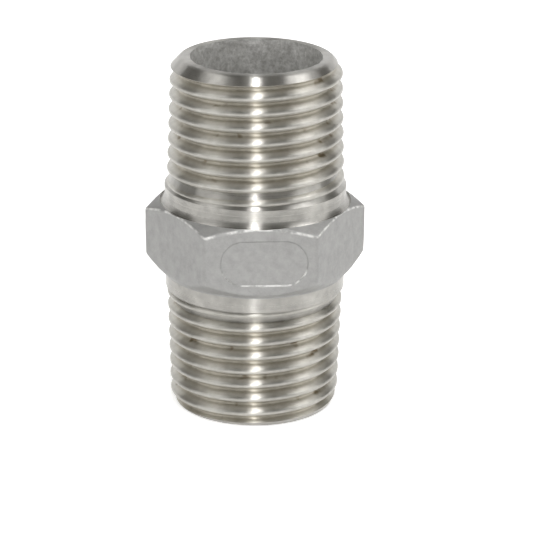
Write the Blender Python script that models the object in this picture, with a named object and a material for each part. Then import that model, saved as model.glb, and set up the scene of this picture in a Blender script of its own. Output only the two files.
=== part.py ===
"""Hex nipple: one cast stainless body with a taper pipe thread cut on each end.

Units are metres and +Z runs along the bore. Z = 0 is the lower end face, and one flat of the
hexagon faces -Y. The two threads are ISO 7-1 R 1/2, right hand.
"""
import math

import bmesh
import bpy
from mathutils import Matrix

# Lengths along the bore. The overall length is their sum.
LOWER_END_LENGTH = 0.0169
HEX_HEIGHT = 0.0089
UPPER_END_LENGTH = 0.0176
OVERALL_LENGTH = LOWER_END_LENGTH + HEX_HEIGHT + UPPER_END_LENGTH

# Hexagon.
HEX_ACROSS_FLATS = 0.0231
UPPER_CHAMFER_ANGLE = math.radians(30)
LOWER_CHAMFER_ANGLE = math.radians(38)

# Plain collars between the hexagon and each thread. Each stands a step above the thread crest
# and meets the hexagon in a fillet.
COLLAR_LENGTH = 0.0023
UPPER_COLLAR_STEP = 0.00025
LOWER_COLLAR_STEP = 0.00017
COLLAR_CHAMFER = 0.0004
UPPER_FILLET_RADIUS = 0.0012
LOWER_FILLET_RADIUS = 0.0006

# Taper thread, with the gauge plane measured from the end face.
THREAD_PITCH = 0.0254 / 14
THREAD_DEPTH = 0.001162
THREAD_FLANK_ANGLE = math.radians(27.5)
THREAD_TAPER = 1 / 16
GAUGE_DIAMETER = 0.020955
GAUGE_LENGTH = 0.0082
THREAD_RUN_OUT = 0.0022
UPPER_THREAD_START = math.radians(-15)
LOWER_THREAD_START = math.radians(-98)

# The bore leaves this wall under the thread root at the end faces. The lead-in chamfers stop
# this far below the thread crest.
ROOT_WALL = 0.00116
BORE_EDGE_BREAK = 0.00025
UPPER_LEAD_IN_DEPTH = 0.00117
LOWER_LEAD_IN_DEPTH = 0.00062
LEAD_IN_LENGTH = 0.0013

# Blank panel with round ends, sunk into the front flat.
PANEL_LENGTH = 0.0101
PANEL_HEIGHT = 0.0053
PANEL_DEPTH = 0.00015
PANEL_OFFSET = 0.0004

# Mesh fineness, and how far a cutter or a hidden end runs past the face it cuts.
STEPS_PER_TURN = 48
FILLET_STEPS = 4
PANEL_END_STEPS = 10
OVERRUN = 0.002
MERGE_DISTANCE = 0.000001
WELD_DISTANCE = 0.00001
SHARP_ANGLE = math.radians(28)


def crest_radius(height):
    """Radius of the thread crest at a distance from the end face."""
    return GAUGE_DIAMETER / 2 + (height - GAUGE_LENGTH) * THREAD_TAPER / 2


LOWER_SHOULDER = LOWER_END_LENGTH
UPPER_SHOULDER = LOWER_END_LENGTH + HEX_HEIGHT
LOWER_THREAD_LENGTH = LOWER_END_LENGTH - COLLAR_LENGTH
UPPER_THREAD_LENGTH = UPPER_END_LENGTH - COLLAR_LENGTH
LOWER_COLLAR_RADIUS = crest_radius(LOWER_THREAD_LENGTH) + LOWER_COLLAR_STEP
UPPER_COLLAR_RADIUS = crest_radius(UPPER_THREAD_LENGTH) + UPPER_COLLAR_STEP
BORE_RADIUS = crest_radius(0) - THREAD_DEPTH - ROOT_WALL
CORNER_RADIUS = HEX_ACROSS_FLATS / math.sqrt(3)


def clear_scene():
    for old in list(bpy.data.objects):
        bpy.data.objects.remove(old, do_unlink=True)


def stainless_steel():
    steel = bpy.data.materials.new("stainless_steel")
    steel.use_nodes = True
    shader = steel.node_tree.nodes["Principled BSDF"]
    shader.inputs["Base Color"].default_value = (0.58, 0.57, 0.55, 1)
    shader.inputs["Metallic"].default_value = 1
    shader.inputs["Roughness"].default_value = 0.35
    return steel


def add_object(name, bm, tool=True):
    """Turn a bmesh into an object. A tool only shapes the body, so it is hidden."""
    mesh = bpy.data.meshes.new(name)
    bm.to_mesh(mesh)
    bm.free()
    made = bpy.data.objects.new(name, mesh)
    bpy.context.scene.collection.objects.link(made)
    made.hide_render = tool
    if tool:
        made.display_type = "WIRE"
    return made


def turned(name, outline):
    """Revolve (radius, height) points about Z. The outline starts and ends on the axis."""
    bm = bmesh.new()
    points = [bm.verts.new((radius, 0, height)) for radius, height in outline]
    for first, second in zip(points, points[1:]):
        bm.edges.new((first, second))
    bmesh.ops.spin(
        bm,
        geom=bm.verts[:] + bm.edges[:],
        axis=(0, 0, 1),
        cent=(0, 0, 0),
        angle=2 * math.pi,
        steps=STEPS_PER_TURN,
        use_merge=True,
    )
    bmesh.ops.remove_doubles(bm, verts=bm.verts[:], dist=MERGE_DISTANCE)
    bmesh.ops.recalc_face_normals(bm, faces=bm.faces[:])
    return add_object(name, bm)


def fillet_points(start, corner, end, radius):
    """Points of an arc that rounds the corner between two straight lines of an outline."""
    into = math.atan2(start[1] - corner[1], start[0] - corner[0])
    out = math.atan2(end[1] - corner[1], end[0] - corner[0])
    half_turn = (out - into + math.pi) % (2 * math.pi) - math.pi
    half = half_turn / 2
    middle = into + half
    reach = radius / abs(math.sin(half))
    centre = (corner[0] + reach * math.cos(middle), corner[1] + reach * math.sin(middle))
    sweep = math.pi - abs(half_turn)
    side = -math.copysign(1, half)
    points = []
    for step in range(FILLET_STEPS + 1):
        angle = middle + math.pi - side * sweep * (0.5 - step / FILLET_STEPS)
        points.append((centre[0] + radius * math.cos(angle), centre[1] + radius * math.sin(angle)))
    return points


def threaded_end(name, length, start_angle):
    """Threaded rod whose end face is at Z = 0 and whose thread runs out towards +Z."""
    flank = THREAD_DEPTH * math.tan(THREAD_FLANK_ANGLE)
    flat = THREAD_PITCH / 2 - flank
    start = -THREAD_PITCH * 1.5
    turns = math.ceil((length + COLLAR_CHAMFER - start) / THREAD_PITCH)
    outer = GAUGE_DIAMETER / 2
    inner = outer - THREAD_DEPTH
    profile = [
        (outer, start),
        (outer, start + flat),
        (inner, start + flat + flank),
        (inner, start + flat + flank + flat),
        (outer, start + THREAD_PITCH),
    ]
    bm = bmesh.new()
    points = [bm.verts.new((radius, 0, height)) for radius, height in profile]
    for first, second in zip(points, points[1:]):
        bm.edges.new((first, second))
    bmesh.ops.spin(
        bm,
        geom=bm.verts[:] + bm.edges[:],
        axis=(0, 0, 1),
        cent=(0, 0, 0),
        dvec=(0, 0, THREAD_PITCH / STEPS_PER_TURN),
        angle=2 * math.pi * turns,
        steps=STEPS_PER_TURN * turns,
    )
    bmesh.ops.remove_doubles(bm, verts=bm.verts[:], dist=MERGE_DISTANCE)

    # The thread tapers, and its groove fades out where it runs up to the collar.
    for vert in bm.verts:
        radius = math.hypot(vert.co.x, vert.co.y)
        fade = min(1, max(0, (length - vert.co.z) / THREAD_RUN_OUT))
        wanted = crest_radius(vert.co.z) - (outer - radius) * fade
        vert.co.x *= wanted / radius
        vert.co.y *= wanted / radius

    # Close each open end with a fan of triangles onto the axis.
    middle = start + (turns + 1) * THREAD_PITCH / 2
    open_edges = [edge for edge in bm.edges if edge.is_boundary]
    for beyond in (False, True):
        rim = [edge for edge in open_edges if (edge.verts[0].co.z > middle) == beyond]
        heights = [vert.co.z for edge in rim for vert in edge.verts]
        hub = bm.verts.new((0, 0, sum(heights) / len(heights)))
        for edge in rim:
            bm.faces.new((edge.verts[0], edge.verts[1], hub))
    bmesh.ops.recalc_face_normals(bm, faces=bm.faces[:])
    bmesh.ops.rotate(bm, verts=bm.verts[:], cent=(0, 0, 0), matrix=Matrix.Rotation(start_angle, 3, "Z"))
    return add_object(name, bm)


def lead_in_blank(name, depth):
    """Chamfered bar that trims the start of a thread square at the end face."""
    full_radius = crest_radius(OVERALL_LENGTH)
    face_radius = crest_radius(0) - depth
    slope = (crest_radius(LEAD_IN_LENGTH) - face_radius) / LEAD_IN_LENGTH
    full_height = (full_radius - face_radius) / slope
    top = OVERALL_LENGTH
    return turned(
        name,
        [(0, 0), (face_radius, 0), (full_radius, full_height), (full_radius, top), (0, top)],
    )


def hexagon():
    """Hexagonal bar as long as the whole body."""
    bm = bmesh.new()
    bmesh.ops.create_cone(
        bm,
        cap_ends=True,
        segments=6,
        radius1=CORNER_RADIUS,
        radius2=CORNER_RADIUS,
        depth=OVERALL_LENGTH,
    )
    bmesh.ops.translate(bm, verts=bm.verts[:], vec=(0, 0, OVERALL_LENGTH / 2))
    bmesh.ops.rotate(bm, verts=bm.verts[:], cent=(0, 0, 0), matrix=Matrix.Rotation(math.pi / 6, 3, "Z"))
    return add_object("nipple_body", bm, tool=False)


def middle_blank():
    """Turned shape that cuts the collars, their fillets and the two chamfers on the hexagonal bar."""
    lower_slope = math.tan(LOWER_CHAMFER_ANGLE)
    upper_slope = math.tan(UPPER_CHAMFER_ANGLE)
    rise = HEX_HEIGHT + LOWER_COLLAR_RADIUS * lower_slope + UPPER_COLLAR_RADIUS * upper_slope
    reach = min(CORNER_RADIUS + OVERRUN, rise / (lower_slope + upper_slope))
    lower_out = (reach, LOWER_SHOULDER + (reach - LOWER_COLLAR_RADIUS) * lower_slope)
    upper_out = (reach, UPPER_SHOULDER - (reach - UPPER_COLLAR_RADIUS) * upper_slope)
    lower_end = LOWER_THREAD_LENGTH
    upper_end = OVERALL_LENGTH - UPPER_THREAD_LENGTH
    lower_collar = (LOWER_COLLAR_RADIUS, lower_end + COLLAR_CHAMFER)
    lower_corner = (LOWER_COLLAR_RADIUS, LOWER_SHOULDER)
    upper_collar = (UPPER_COLLAR_RADIUS, upper_end - COLLAR_CHAMFER)
    upper_corner = (UPPER_COLLAR_RADIUS, UPPER_SHOULDER)
    outline = [(0, lower_end), (LOWER_COLLAR_RADIUS - COLLAR_CHAMFER, lower_end), lower_collar]
    outline.extend(fillet_points(lower_collar, lower_corner, lower_out, LOWER_FILLET_RADIUS))
    outline.extend([lower_out, upper_out])
    outline.extend(fillet_points(upper_out, upper_corner, upper_collar, UPPER_FILLET_RADIUS))
    outline.extend([upper_collar, (UPPER_COLLAR_RADIUS - COLLAR_CHAMFER, upper_end), (0, upper_end)])
    return turned("middle_blank", outline)


def bore():
    low = -OVERRUN
    high = OVERALL_LENGTH + OVERRUN
    wide = BORE_RADIUS + BORE_EDGE_BREAK + OVERRUN
    outline = [
        (0, low),
        (wide, low),
        (BORE_RADIUS, BORE_EDGE_BREAK),
        (BORE_RADIUS, OVERALL_LENGTH - BORE_EDGE_BREAK),
        (wide, high),
        (0, high),
    ]
    return turned("bore", outline)


def obround(length, height, low, high):
    """Closed bar with round ends, lying across the front flat between two Y values."""
    radius = height / 2
    straight = (length - height) / 2
    centre_z = (LOWER_SHOULDER + UPPER_SHOULDER) / 2
    bm = bmesh.new()
    outline = []
    for side in (1, -1):
        for step in range(PANEL_END_STEPS + 1):
            angle = side * math.pi / 2 - math.pi * step / PANEL_END_STEPS
            x = PANEL_OFFSET + side * straight + radius * math.cos(angle)
            z = centre_z + radius * math.sin(angle)
            outline.append(bm.verts.new((x, low, z)))
    face = bm.faces.new(outline)
    grown = bmesh.ops.extrude_face_region(bm, geom=[face])
    moved = [item for item in grown["geom"] if isinstance(item, bmesh.types.BMVert)]
    bmesh.ops.translate(bm, verts=moved, vec=(0, high - low, 0))
    bmesh.ops.recalc_face_normals(bm, faces=bm.faces[:])
    return bm


def panel():
    """Cutter for the blank sunk panel in the front flat."""
    front = -HEX_ACROSS_FLATS / 2
    outline = obround(PANEL_LENGTH, PANEL_HEIGHT, front - OVERRUN, front + PANEL_DEPTH)
    return add_object("panel", outline)


def boolean(target, operation, tool):
    step = target.modifiers.new(tool.name, "BOOLEAN")
    step.operation = operation
    step.solver = "EXACT"
    step.object = tool


def main():
    clear_scene()
    body = hexagon()
    boolean(body, "INTERSECT", middle_blank())
    boolean(body, "DIFFERENCE", panel())

    lower = threaded_end("lower_thread", LOWER_THREAD_LENGTH, LOWER_THREAD_START)
    boolean(lower, "INTERSECT", lead_in_blank("lower_lead_in", LOWER_LEAD_IN_DEPTH))
    boolean(body, "UNION", lower)

    upper = threaded_end("upper_thread", UPPER_THREAD_LENGTH, UPPER_THREAD_START)
    upper_blank = lead_in_blank("upper_lead_in", UPPER_LEAD_IN_DEPTH)
    for piece in (upper, upper_blank):
        piece.location.z = OVERALL_LENGTH
        piece.rotation_euler.x = math.pi
    boolean(upper, "INTERSECT", upper_blank)
    boolean(body, "UNION", upper)

    boolean(body, "DIFFERENCE", bore())
    weld = body.modifiers.new("weld", "WELD")
    weld.merge_threshold = WELD_DISTANCE
    body.data.materials.append(stainless_steel())
    body.data.shade_smooth()
    body.data.set_sharp_from_angle(angle=SHARP_ANGLE)


main()
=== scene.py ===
import math

import bpy
from mathutils import Euler, Matrix, Vector


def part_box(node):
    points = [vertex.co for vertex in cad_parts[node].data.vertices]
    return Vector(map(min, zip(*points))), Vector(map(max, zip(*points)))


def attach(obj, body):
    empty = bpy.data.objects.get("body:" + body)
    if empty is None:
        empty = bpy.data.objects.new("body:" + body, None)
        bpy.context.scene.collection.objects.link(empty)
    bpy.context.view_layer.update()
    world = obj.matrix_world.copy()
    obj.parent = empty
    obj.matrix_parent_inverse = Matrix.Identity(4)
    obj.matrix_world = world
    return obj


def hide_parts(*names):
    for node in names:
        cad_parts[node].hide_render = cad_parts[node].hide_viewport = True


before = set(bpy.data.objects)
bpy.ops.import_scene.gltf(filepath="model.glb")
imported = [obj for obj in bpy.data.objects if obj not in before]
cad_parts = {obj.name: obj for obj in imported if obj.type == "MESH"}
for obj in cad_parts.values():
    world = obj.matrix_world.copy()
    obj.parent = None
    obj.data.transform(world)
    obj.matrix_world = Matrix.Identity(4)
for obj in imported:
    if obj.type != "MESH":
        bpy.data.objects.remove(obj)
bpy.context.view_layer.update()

end_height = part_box("nipple_body")[1].z

# ---------------------------------------------------------------------------------------------
# The view. A long lens looks down on the nipple from a little left of the hexagon's front flat,
# and the nipple stands left of the middle of the frame and above it.
# ---------------------------------------------------------------------------------------------
aim = Vector((0, 0, 0.0221))
view_azimuth = math.radians(-3.6)
view_height = math.radians(18.9)
view_distance = 0.3146
turn_right = math.radians(0.317)
turn_down = math.radians(0.953)
roll = math.radians(0.445)

from_aim = Vector((
    math.sin(view_azimuth) * math.cos(view_height),
    -math.cos(view_azimuth) * math.cos(view_height),
    math.sin(view_height),
))
aimed = (-from_aim).to_track_quat("-Z", "Y").to_matrix()
nudge = Euler((-turn_down, -turn_right, roll), "XYZ").to_matrix()
bpy.ops.object.camera_add(
    location=aim + from_aim * view_distance,
    rotation=(aimed @ nudge).to_euler(),
)
camera = bpy.context.object
camera.name = "studio_camera"
camera.data.sensor_width = 36
camera.data.lens = 173.5
camera.data.clip_start = 0.01
bpy.context.scene.camera = camera

# ---------------------------------------------------------------------------------------------
# The casting. The whole nipple is poured as one stainless steel investment casting. Its hexagon
# keeps the cast skin: flats a little uneven, corners rounded, the lower shoulder left as it is.
# ---------------------------------------------------------------------------------------------
across_flats = 0.0231
flat_distance = across_flats / 2
corner_radius = across_flats / math.sqrt(3)
lower_shoulder = 0.0169
upper_shoulder = end_height - 0.0176
lower_thread_end = 0.0146
upper_thread_end = end_height - 0.0153
lower_collar_radius = 0.01085
upper_collar_radius = 0.01095
run_out = 0.0024
cast_slope = math.tan(math.radians(38))
turned_slope = math.tan(math.radians(30))
beyond = corner_radius + 0.002
skin_cell = 0.0002
overlap = 0.0006
skin_waves = 0.00008
foot_height = upper_shoulder - 0.005
foot_blend = 0.002

CAST = 0
TURNED = 1
LOWER_THREAD = 2
UPPER_THREAD = 3
BORE = 4


def pick(thing):
    """Make one object the only selected and active one."""
    bpy.ops.object.select_all(action="DESELECT")
    thing.select_set(True)
    bpy.context.view_layer.objects.active = thing


def apply_modifier(thing, kind, **values):
    """Add a modifier with these values and apply it."""
    pick(thing)
    modifier = thing.modifiers.new(kind.lower(), kind)
    for name, value in values.items():
        setattr(modifier, name, value)
    bpy.ops.object.modifier_apply(modifier=modifier.name)


def cut(thing, operation, tool):
    """Join, trim or cut with another solid, which is used up."""
    apply_modifier(thing, "BOOLEAN", operation=operation, solver="EXACT", object=tool)
    bpy.data.objects.remove(tool, do_unlink=True)


def finish_in(thing, slot):
    """Mark every face of a solid with one of the nipple's five finishes."""
    for name in ("cast", "turned", "lower_thread", "upper_thread", "bore"):
        finish = bpy.data.materials.get(name) or bpy.data.materials.new(name)
        thing.data.materials.append(finish)
    for face in thing.data.polygons:
        face.material_index = slot


def draw(name, points):
    """A line through (radius, height) points, drawn by extruding one corner along it."""
    bpy.ops.object.select_all(action="DESELECT")
    bpy.ops.mesh.primitive_plane_add(size=0.001, location=(points[0][0], 0, points[0][1]))
    line = bpy.context.object
    line.name = name
    bpy.ops.object.mode_set(mode="EDIT")
    bpy.ops.mesh.select_mode(type="VERT")
    bpy.ops.mesh.select_all(action="SELECT")
    bpy.ops.mesh.merge(type="CENTER")
    for (radius, height), (next_radius, next_height) in zip(points, points[1:]):
        step = (next_radius - radius, 0, next_height - height)
        bpy.ops.mesh.extrude_vertices_move(TRANSFORM_OT_translate={"value": step})
    bpy.ops.object.mode_set(mode="OBJECT")
    bpy.ops.object.transform_apply(location=True, rotation=True, scale=True)
    return line


def turn(name, points, steps=128):
    """A turned solid. Its outline starts and ends on the axis."""
    solid = draw(name, points)
    apply_modifier(solid, "SCREW", angle=2 * math.pi, steps=steps, render_steps=steps)
    bpy.ops.object.mode_set(mode="EDIT")
    bpy.ops.mesh.select_all(action="SELECT")
    bpy.ops.mesh.remove_doubles(threshold=0.000001)
    bpy.ops.mesh.normals_make_consistent(inside=False)
    bpy.ops.object.mode_set(mode="OBJECT")
    return solid


bpy.ops.object.select_all(action="DESELECT")
bpy.ops.mesh.primitive_cylinder_add(
    vertices=6,
    radius=corner_radius,
    depth=0.024,
    location=(0, 0, (lower_shoulder + upper_shoulder) / 2),
    rotation=(0, 0, math.pi / 6),
)
casting = bpy.context.object
casting.name = "nipple_casting"
bpy.ops.object.transform_apply(location=True, rotation=True, scale=True)

cast_neck = lower_collar_radius + 0.00006
cast_top = upper_collar_radius + 0.0003
neck_rise = (beyond - cast_neck) * cast_slope
top_fall = (beyond - cast_top) * turned_slope
cast_outline = [
    (0, lower_thread_end - run_out - overlap),
    (cast_neck, lower_thread_end - run_out - overlap),
    (cast_neck, lower_shoulder),
    (beyond, lower_shoulder + neck_rise),
    (beyond, upper_shoulder - top_fall),
    (cast_top, upper_shoulder),
    (cast_top, upper_thread_end + run_out + overlap),
    (0, upper_thread_end + run_out + overlap),
]
cut(casting, "INTERSECT", turn("mould", cast_outline))
apply_modifier(casting, "REMESH", mode="VOXEL", voxel_size=skin_cell)
apply_modifier(casting, "SMOOTH", factor=0.5, iterations=4)
soft_foot = casting.vertex_groups.new(name="soft_foot")
for corner in casting.data.vertices:
    weight = (foot_height - corner.co.z) / foot_blend
    soft_foot.add([corner.index], max(0, min(1, weight)), "REPLACE")
apply_modifier(casting, "SMOOTH", factor=0.5, iterations=16, vertex_group="soft_foot")
waves = bpy.data.textures.new("cast_waves", "CLOUDS")
waves.noise_scale = 0.004
waves.noise_depth = 3
apply_modifier(
    casting, "DISPLACE", texture=waves, texture_coords="LOCAL", strength=skin_waves, mid_level=0.5
)
finish_in(casting, CAST)

# ---------------------------------------------------------------------------------------------
# The turning. A lathe cuts both collars, the run-outs, and a narrow ring with a fillet where the
# upper collar meets the hexagon. It comes close enough to break through the tops of the flats.
# ---------------------------------------------------------------------------------------------
collar_chamfer = 0.0004
root_radius = 0.0094
ring_radius = 0.0115
ring_fillet = 0.0011
cast_line = lower_shoulder - 0.0001


def rounding(before, corner, after, radius, steps=8):
    """Points of an arc that rounds the corner between two straight lines of an outline."""
    corner = Vector(corner)
    inward = (Vector(before) - corner).normalized()
    outward = (Vector(after) - corner).normalized()
    half = inward.angle(outward) / 2
    centre = corner + (inward + outward).normalized() * radius / math.sin(half)
    first = corner + inward * radius / math.tan(half) - centre
    last = corner + outward * radius / math.tan(half) - centre
    sweep = math.atan2(first.x * last.y - first.y * last.x, first.dot(last))
    spokes = [Matrix.Rotation(sweep * step / steps, 2) @ first for step in range(steps + 1)]
    return [tuple(centre + spoke) for spoke in spokes]


upper_collar = (upper_collar_radius, upper_thread_end - collar_chamfer)
upper_corner = (upper_collar_radius, upper_shoulder)
upper_ring = (ring_radius, upper_shoulder - (ring_radius - upper_collar_radius) * turned_slope)
turned_outline = [
    (0, lower_thread_end - run_out),
    (root_radius, lower_thread_end - run_out),
    (lower_collar_radius - collar_chamfer, lower_thread_end),
    (lower_collar_radius, lower_thread_end + collar_chamfer),
    (lower_collar_radius, cast_line),
    (beyond, cast_line),
    (beyond, upper_ring[1] + 0.001),
    (ring_radius + 0.0003, upper_ring[1] + 0.001),
    upper_ring,
    *rounding(upper_ring, upper_corner, upper_collar, ring_fillet),
    upper_collar,
    (upper_collar_radius - collar_chamfer, upper_thread_end),
    (root_radius, upper_thread_end + run_out),
    (0, upper_thread_end + run_out),
]
turning = turn("turning", turned_outline)
finish_in(turning, TURNED)
cut(casting, "INTERSECT", turning)

# ---------------------------------------------------------------------------------------------
# The marking panel. A shallow field with round ends is cast into the front flat, where a maker
# would put a size. It is left blank. Its wall slopes, so the lower edge catches the light, and the cast
# finish paints a highlight on that upward-tilting wall.
# ---------------------------------------------------------------------------------------------
panel_length = 0.0101
panel_height = 0.0053
panel_depth = 0.00015
panel_offset = 0.0004
panel_slope = 0.00018
panel_middle = (lower_shoulder + upper_shoulder) / 2

bpy.ops.object.select_all(action="DESELECT")
bpy.ops.mesh.primitive_circle_add(
    vertices=64,
    radius=panel_height / 2,
    fill_type="NGON",
    location=(panel_offset, panel_depth - flat_distance, panel_middle),
    rotation=(math.pi / 2, 0, 0),
)
panel = bpy.context.object
panel.name = "panel"
bpy.ops.object.transform_apply(location=True, rotation=True, scale=True)
for corner in panel.data.vertices:
    if abs(corner.co.x - panel_offset) > 0.00001:
        side = math.copysign(1, corner.co.x - panel_offset)
        corner.co.x += side * (panel_length - panel_height) / 2
bpy.ops.object.mode_set(mode="EDIT")
bpy.ops.mesh.select_all(action="SELECT")
bpy.ops.mesh.extrude_region_shrink_fatten(TRANSFORM_OT_shrink_fatten={"value": 0})
bpy.ops.transform.translate(value=(0, -2 * panel_depth, 0))
bpy.ops.transform.resize(
    value=(
        1 + 4 * panel_slope / panel_length,
        1,
        1 + 4 * panel_slope / panel_height,
    ),
    center_override=(panel_offset, 0, panel_middle),
)
bpy.ops.mesh.select_all(action="SELECT")
bpy.ops.mesh.normals_make_consistent(inside=False)
bpy.ops.object.mode_set(mode="OBJECT")
finish_in(panel, CAST)
cut(casting, "DIFFERENCE", panel)

# ---------------------------------------------------------------------------------------------
# The threads. A single-point tool cuts a 1/2 inch taper pipe thread on each end, fourteen turns
# to the inch with round crests and roots, and each end is chamfered to start into its socket.
# ---------------------------------------------------------------------------------------------
pitch = 0.0254 / 14
crest_round = 0.00035
root_round = 0.00028
flank_angle = math.radians(27.5)
gauge_radius = 0.020955 / 2
gauge_length = 0.0082
lead_in_length = 0.0013
lower_face_radius = 0.0096
upper_face_radius = 0.00905
lower_edge_round = 0.0002
upper_edge_round = 0.0009
lower_start = math.radians(-98)
upper_start = math.radians(-15)
round_sweep = math.pi / 2 - flank_angle
round_steps = 4
thread_steps = 96


def crest_radius(height):
    """Radius of the thread crest at a distance from the end face."""
    return gauge_radius + (height - gauge_length) / 32


def thread_form(top):
    """One turn of the thread's outline, from a crest down to the next one."""
    angles = [round_sweep * step / round_steps for step in range(round_steps + 1)]
    crest = [(crest_round * (1 - math.cos(a)), crest_round * math.sin(a)) for a in angles]
    root = [(root_round * (1 - math.cos(a)), root_round * math.sin(a)) for a in angles]
    run = pitch / 2 - crest[-1][1] - root[-1][1]
    depth = crest[-1][0] + root[-1][0] + run / math.tan(flank_angle)
    down_side = crest + [(depth - rise, pitch / 2 - down) for rise, down in reversed(root)]
    up_side = [(rise, pitch - down) for rise, down in reversed(down_side[:-1])]
    return [(gauge_radius - rise, top - down) for rise, down in down_side + up_side]


def threaded_end(name, length, start_angle, face_radius, edge_round, slot):
    """A threaded end, standing on its end face, with its thread running up to the collar."""
    turns = math.ceil((length + 2 * pitch) / pitch)
    rod = draw(name, thread_form(-gauge_length))
    apply_modifier(
        rod,
        "SCREW",
        angle=2 * math.pi,
        screw_offset=pitch,
        iterations=turns,
        steps=thread_steps,
        render_steps=thread_steps,
    )
    bpy.ops.object.mode_set(mode="EDIT")
    bpy.ops.mesh.select_all(action="SELECT")
    bpy.ops.mesh.remove_doubles(threshold=0.000001)
    bpy.ops.object.mode_set(mode="OBJECT")
    tall = pitch * (turns + 1)
    apply_modifier(
        rod,
        "SIMPLE_DEFORM",
        deform_method="TAPER",
        deform_axis="Z",
        factor=tall / 32 / gauge_radius,
    )
    # Close both ends on the axis.
    middle = -gauge_length - pitch + tall / 2
    for above in (False, True):
        bpy.ops.object.mode_set(mode="EDIT")
        bpy.ops.mesh.select_mode(type="EDGE")
        bpy.ops.mesh.select_all(action="DESELECT")
        bpy.ops.mesh.select_non_manifold()
        bpy.ops.object.mode_set(mode="OBJECT")
        for edge in rod.data.edges:
            if edge.select:
                edge.select = (rod.data.vertices[edge.vertices[0]].co.z > middle) == above
        bpy.ops.object.mode_set(mode="EDIT")
        bpy.ops.mesh.extrude_edges_move(TRANSFORM_OT_translate={"value": (0, 0, 0)})
        bpy.ops.mesh.merge(type="CENTER")
        bpy.ops.object.mode_set(mode="OBJECT")
    bpy.ops.object.mode_set(mode="EDIT")
    bpy.ops.mesh.select_all(action="SELECT")
    bpy.ops.mesh.normals_make_consistent(inside=False)
    bpy.ops.object.mode_set(mode="OBJECT")
    rod.rotation_euler.z = start_angle
    rod.location.z = gauge_length
    bpy.ops.object.transform_apply(location=True, rotation=True, scale=True)
    finish_in(rod, slot)

    wide = gauge_radius + 0.002
    lead_in = (crest_radius(lead_in_length) - face_radius) / lead_in_length
    face_corner = (face_radius, 0)
    full = (wide, (wide - face_radius) / lead_in)
    blank_outline = [
        (0, 0),
        *rounding((0, 0), face_corner, full, edge_round, 5),
        full,
        (wide, length + pitch),
        (0, length + pitch),
    ]
    blank = turn(name + "_blank", blank_outline)
    finish_in(blank, TURNED)
    cut(rod, "INTERSECT", blank)
    return rod


lower_end = threaded_end(
    "lower_thread",
    lower_thread_end,
    lower_start,
    lower_face_radius,
    lower_edge_round,
    LOWER_THREAD,
)
upper_end = threaded_end(
    "upper_thread",
    end_height - upper_thread_end,
    upper_start,
    upper_face_radius,
    upper_edge_round,
    UPPER_THREAD,
)
upper_end.rotation_euler.x = math.pi
upper_end.location.z = end_height
pick(upper_end)
bpy.ops.object.transform_apply(location=True, rotation=True, scale=True)
cut(casting, "UNION", lower_end)
cut(casting, "UNION", upper_end)

# ---------------------------------------------------------------------------------------------
# The bore. It is cored in the casting and never machined, so its wall is grainy and wavy, and
# where the end faces were turned off its edge is ragged.
# ---------------------------------------------------------------------------------------------
bore_radius = 0.0079
bore_cell = 0.0004
bore_grain_height = 0.00026

bore_ends = (-0.001, end_height + 0.001)
bore_rows = round((bore_ends[1] - bore_ends[0]) / bore_cell)
bore_outline = [(0, bore_ends[0])]
for row in range(bore_rows + 1):
    bore_outline.append((bore_radius, bore_ends[0] + row * (bore_ends[1] - bore_ends[0]) / bore_rows))
bore_outline.append((0, bore_ends[1]))
bore = turn("bore", bore_outline)
grain = bpy.data.textures.new("bore_grain", "CLOUDS")
grain.noise_scale = 0.0011
grain.noise_depth = 2
apply_modifier(
    bore,
    "DISPLACE",
    texture=grain,
    texture_coords="LOCAL",
    strength=bore_grain_height,
    mid_level=0.5,
)
finish_in(bore, BORE)
cut(casting, "DIFFERENCE", bore)

pick(casting)
bpy.ops.object.mode_set(mode="EDIT")
bpy.ops.mesh.select_all(action="SELECT")
bpy.ops.mesh.remove_doubles(threshold=0.000004)
bpy.ops.object.mode_set(mode="OBJECT")
bpy.ops.object.shade_smooth_by_angle(angle=math.radians(32))

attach(casting, "root")
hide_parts("nipple_body")

# ---------------------------------------------------------------------------------------------
# The finishes. All one stainless steel: a blasted cast skin on the hexagon, bright fine-turned
# rings on chamfer and collars, rougher tool-cut threads, and the bare cored skin in the bore.
# ---------------------------------------------------------------------------------------------


def node(tree, kind, inputs=None, **settings):
    """A shader node with its settings, its plain values and its links."""
    made = tree.nodes.new(kind)
    for name, value in settings.items():
        setattr(made, name, value)
    for socket, value in (inputs or {}).items():
        if isinstance(value, bpy.types.NodeSocket):
            tree.links.new(value, made.inputs[socket])
        else:
            made.inputs[socket].default_value = value
    return made


def ramp(tree, value, stops):
    """A colour ramp through (position, colour) stops."""
    made = node(tree, "ShaderNodeValToRGB", {"Fac": value})
    while len(made.color_ramp.elements) < len(stops):
        made.color_ramp.elements.new(0.5)
    for element, (position, colour) in zip(made.color_ramp.elements, stops):
        element.position = position
        element.color = (*colour, 1)
    return made.outputs["Color"]


def noise(tree, vector, scale, detail=4, roughness=0.55):
    """A grey noise over the given coordinates."""
    made = node(
        tree,
        "ShaderNodeTexNoise",
        {"Vector": vector, "Scale": scale, "Detail": detail, "Roughness": roughness},
    )
    return made.outputs["Fac"]


def round_coordinates(tree):
    """The place on the piece as distance from the axis, way round it, and height."""
    place = node(tree, "ShaderNodeTexCoord").outputs["Object"]
    split = node(tree, "ShaderNodeSeparateXYZ", {"Vector": place})
    flat = node(tree, "ShaderNodeCombineXYZ", {"X": split.outputs["X"], "Y": split.outputs["Y"]})
    radius = node(tree, "ShaderNodeVectorMath", {0: flat.outputs[0]}, operation="LENGTH")
    return place, radius.outputs["Value"], split.outputs["Z"]


def steel(name):
    """An empty metal finish with its surface node."""
    finish = bpy.data.materials[name]
    finish.use_nodes = True
    tree = finish.node_tree
    surface = tree.nodes["Principled BSDF"]
    surface.inputs["Metallic"].default_value = 1
    return tree, surface


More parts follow.
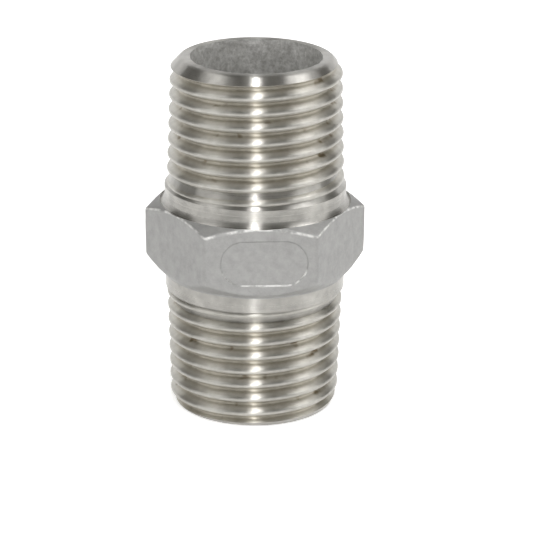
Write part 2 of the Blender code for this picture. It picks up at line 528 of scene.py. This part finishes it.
def bumps(tree, surface, heights):
    """Stack bumps of (height socket, strength, depth) under one another."""
    normal = None
    for height, strength, depth in heights:
        inputs = {"Height": height, "Strength": strength, "Distance": depth}
        if normal:
            inputs["Normal"] = normal
        normal = node(tree, "ShaderNodeBump", inputs).outputs["Normal"]
    tree.links.new(normal, surface.inputs["Normal"])


def streak_round(tree, surface):
    """Tool marks that run round the axis, so that a highlight spreads along it."""
    surface.inputs["Anisotropic"].default_value = 0.98
    surface.inputs["Anisotropic Rotation"].default_value = 0.25
    around = node(tree, "ShaderNodeTangent", direction_type="RADIAL", axis="Z")
    tree.links.new(around.outputs[0], surface.inputs["Tangent"])


# The cast skin: grey and matt, shot-blasted, with fine dimples and a faint mottle. Its colour is
# painted lighter where a surface tilts partly upward: a painted highlight along the rounded upper edges
# of the flats.
tree, surface = steel("cast")
surface.inputs["Metallic"].default_value = 0.85
coordinates = node(tree, "ShaderNodeTexCoord")
place = coordinates.outputs["Object"]
mottle = noise(tree, place, 800, 5, 0.7)
grain = noise(tree, place, 6500, 2)
colour = ramp(tree, mottle, [(0.3, (0.305, 0.303, 0.297)), (0.7, (0.385, 0.382, 0.375))])
# Painted highlight: where the surface normal tilts partly upward, the colour turns to a pale grey
# broken up by noise.
tilt = node(tree, "ShaderNodeSeparateXYZ", {"Vector": coordinates.outputs["Normal"]}).outputs["Z"]
highlight_breakup = noise(tree, place, 1100, 3)
painted_highlight_colour = ramp(tree, highlight_breakup, [(0.38, (0.4, 0.397, 0.39)), (0.6, (0.8, 0.795, 0.78))])
painted_highlight_mask = ramp(tree, tilt, [(0.1, (0, 0, 0)), (0.3, (1, 1, 1)), (0.55, (1, 1, 1)), (0.75, (0, 0, 0))])
colour_with_painted_highlight = node(
    tree,
    "ShaderNodeMix",
    {"Factor": painted_highlight_mask, "A": colour, "B": painted_highlight_colour},
    data_type="RGBA",
)
tree.links.new(colour_with_painted_highlight.outputs["Result"], surface.inputs["Base Color"])
dull = ramp(tree, grain, [(0.3, (0.46, 0.46, 0.46)), (0.7, (0.58, 0.58, 0.58))])
tree.links.new(dull, surface.inputs["Roughness"])
bumps(tree, surface, [(mottle, 0.5, 0.00006), (grain, 0.6, 0.00002)])

# The turned faces: rings from a fine feed, brighter and warmer, glossy across the rings.
tree, surface = steel("turned")
place, radius, height = round_coordinates(tree)
rings_at = node(tree, "ShaderNodeCombineXYZ", {"X": radius, "Z": height}).outputs[0]
rings = noise(tree, rings_at, 9000, 2)
passes = noise(tree, rings_at, 2600, 1)
patches = noise(tree, place, 700, 4)
colour = ramp(tree, patches, [(0.35, (0.36, 0.35, 0.33)), (0.7, (0.47, 0.458, 0.43))])
tree.links.new(colour, surface.inputs["Base Color"])
dull = ramp(tree, rings, [(0.3, (0.26, 0.26, 0.26)), (0.7, (0.35, 0.35, 0.35))])
tree.links.new(dull, surface.inputs["Roughness"])
streak_round(tree, surface)
bumps(tree, surface, [(passes, 0.5, 0.00003), (rings, 0.5, 0.00001), (patches, 0.2, 0.00002)])

# The threads: the same cut metal. Painted shade makes the colour darker and browner toward the roots,
# with the crests a shade darker than the flanks, and brown residue lies in patches in the roots.
for name, face_height, upward in (("lower_thread", 0, 1), ("upper_thread", end_height, -1)):
    tree, surface = steel(name)
    place, radius, height = round_coordinates(tree)
    rings_at = node(tree, "ShaderNodeCombineXYZ", {"X": radius, "Z": height}).outputs[0]
    rings = noise(tree, rings_at, 7000, 2)
    patches = noise(tree, place, 900, 4)
    crest_line = node(
        tree,
        "ShaderNodeMath",
        {0: height, 1: upward / 32, 2: gauge_radius - (gauge_length + upward * face_height) / 32},
        operation="MULTIPLY_ADD",
    ).outputs[0]
    below = node(tree, "ShaderNodeMath", {0: crest_line, 1: radius}, operation="SUBTRACT").outputs[0]
    depth = node(tree, "ShaderNodeMath", {0: below, 1: 1000}, operation="MULTIPLY").outputs[0]
    bright = ramp(tree, patches, [(0.35, (0.52, 0.505, 0.465)), (0.7, (0.62, 0.605, 0.565))])
    # Painted shade: by depth below the crest line the colour darkens and browns toward the roots, and
    # the crests are painted a shade darker than the flanks.
    painted_groove_shade = ramp(
        tree, depth, [(0.1, (0.9, 0.9, 0.9)), (0.5, (1, 0.995, 0.98)), (0.95, (0.8, 0.77, 0.71))]
    )
    colour = node(
        tree,
        "ShaderNodeMix",
        {"Factor": 1.0, "A": bright, "B": painted_groove_shade},
        data_type="RGBA",
        blend_type="MULTIPLY",
    )
    residue = noise(tree, place, 420, 2)
    blotches = ramp(tree, residue, [(0.28, (0.42, 0.36, 0.28)), (0.38, (1, 1, 1))])
    deep = ramp(tree, depth, [(0.45, (0, 0, 0)), (0.8, (1, 1, 1))])
    colour = node(
        tree,
        "ShaderNodeMix",
        {"Factor": deep, "A": colour.outputs["Result"], "B": blotches},
        data_type="RGBA",
        blend_type="MULTIPLY",
    )
    tree.links.new(colour.outputs["Result"], surface.inputs["Base Color"])
    dull = ramp(tree, rings, [(0.3, (0.31, 0.31, 0.31)), (0.7, (0.42, 0.42, 0.42))])
    tree.links.new(dull, surface.inputs["Roughness"])
    streak_round(tree, surface)
    bumps(tree, surface, [(rings, 0.5, 0.00001), (patches, 0.2, 0.00002)])

# The bore: cored skin with coarse sand grain, dark in its hollows.
tree, surface = steel("bore")
place = node(tree, "ShaderNodeTexCoord").outputs["Object"]
surface.inputs["Metallic"].default_value = 0.6
sand = noise(tree, place, 1900, 4, 0.65)
stain = noise(tree, place, 300, 3)
colour = ramp(tree, sand, [(0.35, (0.5, 0.495, 0.475)), (0.65, (0.76, 0.755, 0.74))])
tree.links.new(colour, surface.inputs["Base Color"])
dull = ramp(tree, stain, [(0.3, (0.42, 0.42, 0.42)), (0.7, (0.6, 0.6, 0.6))])
tree.links.new(dull, surface.inputs["Roughness"])
bumps(tree, surface, [(sand, 0.8, 0.00008)])

# ---------------------------------------------------------------------------------------------
# The floor and wall. The nipple stands on a broad sheet of white board. A low grey board stands
# behind it and puts the pale band along both edges of the metal.
# ---------------------------------------------------------------------------------------------
bpy.ops.object.select_all(action="DESELECT")
bpy.ops.mesh.primitive_plane_add(size=3, location=(0, 0, -0.00005))
floor = bpy.context.object
floor.name = "floor"
white_board = bpy.data.materials.new("white_board")
white_board.use_nodes = True
surface = white_board.node_tree.nodes["Principled BSDF"]
surface.inputs["Base Color"].default_value = (0.9, 0.9, 0.9, 1)
surface.inputs["Roughness"].default_value = 0.9
surface.inputs["Emission Color"].default_value = (1, 1, 1, 1)
surface.inputs["Emission Strength"].default_value = 0.5
floor.data.materials.append(white_board)

bpy.ops.object.select_all(action="DESELECT")
bpy.ops.mesh.primitive_plane_add(size=1, location=(0, 0.6, 0.2), rotation=(math.pi / 2, 0, 0))
wall = bpy.context.object
wall.name = "wall"
wall.scale = (1.72, 0.44, 1)
bpy.ops.object.transform_apply(location=True, rotation=True, scale=True)
grey_board = white_board.copy()
grey_board.name = "grey_board"
surface = grey_board.node_tree.nodes["Principled BSDF"]
surface.inputs["Base Color"].default_value = (0.6, 0.6, 0.6, 1)
surface.inputs["Emission Strength"].default_value = 0.26
wall.data.materials.append(grey_board)

# ---------------------------------------------------------------------------------------------
# The light. Big soft boxes stand left and right with smaller ones above and behind them. Two
# narrow strips make the bright line down the middle, and small boxes fill the front and bore.
# ---------------------------------------------------------------------------------------------


def softbox(name, azimuth, elevation, distance, width, height, power):
    """A rectangular soft light, aimed at the hexagon. Azimuth 0 is in front, positive right."""
    azimuth = math.radians(azimuth)
    elevation = math.radians(elevation)
    away = Vector((
        math.sin(azimuth) * math.cos(elevation),
        -math.cos(azimuth) * math.cos(elevation),
        math.sin(elevation),
    ))
    centre = Vector((0, 0, end_height / 2))
    bpy.ops.object.light_add(
        type="AREA", location=centre + away * distance, rotation=away.to_track_quat("Z", "Y").to_euler()
    )
    light = bpy.context.object
    light.name = name
    light.data.shape = "RECTANGLE"
    light.data.size = width
    light.data.size_y = height
    light.data.energy = power
    return light


softbox("strip_front", -4.6, 22, 1.2, 0.024, 1.2, 1.7)
softbox("strip_above", -4.6, 72, 1.2, 0.020, 1.0, 2.2)
softbox("front_fill", -3, 10, 1.2, 0.28, 0.4, 1.3)
softbox("right_box", 78, 28, 1.0, 0.75, 1.2, 3.1)
softbox("left_box", -70, 28, 1.0, 0.70, 1.2, 1.9)
softbox("right_high_box", 95, 58, 1.0, 0.40, 0.36, 1.3)
softbox("left_high_box", -92, 58, 1.0, 0.34, 0.32, 0.4)
softbox("right_back_box", 137.4, 53.5, 1.0, 0.38, 0.37, 0.5)
softbox("left_back_box", -138, 57, 1.0, 0.30, 0.28, 0.4)
softbox("bore_box", -4, 62, 1.0, 0.10, 0.22, 1.2)

room = bpy.data.worlds.new("room")
room.use_nodes = True
room.node_tree.nodes["Background"].inputs["Color"].default_value = (0.20, 0.197, 0.185, 1)
bpy.context.scene.world = room
bpy.context.scene.view_settings.view_transform = "Standard"
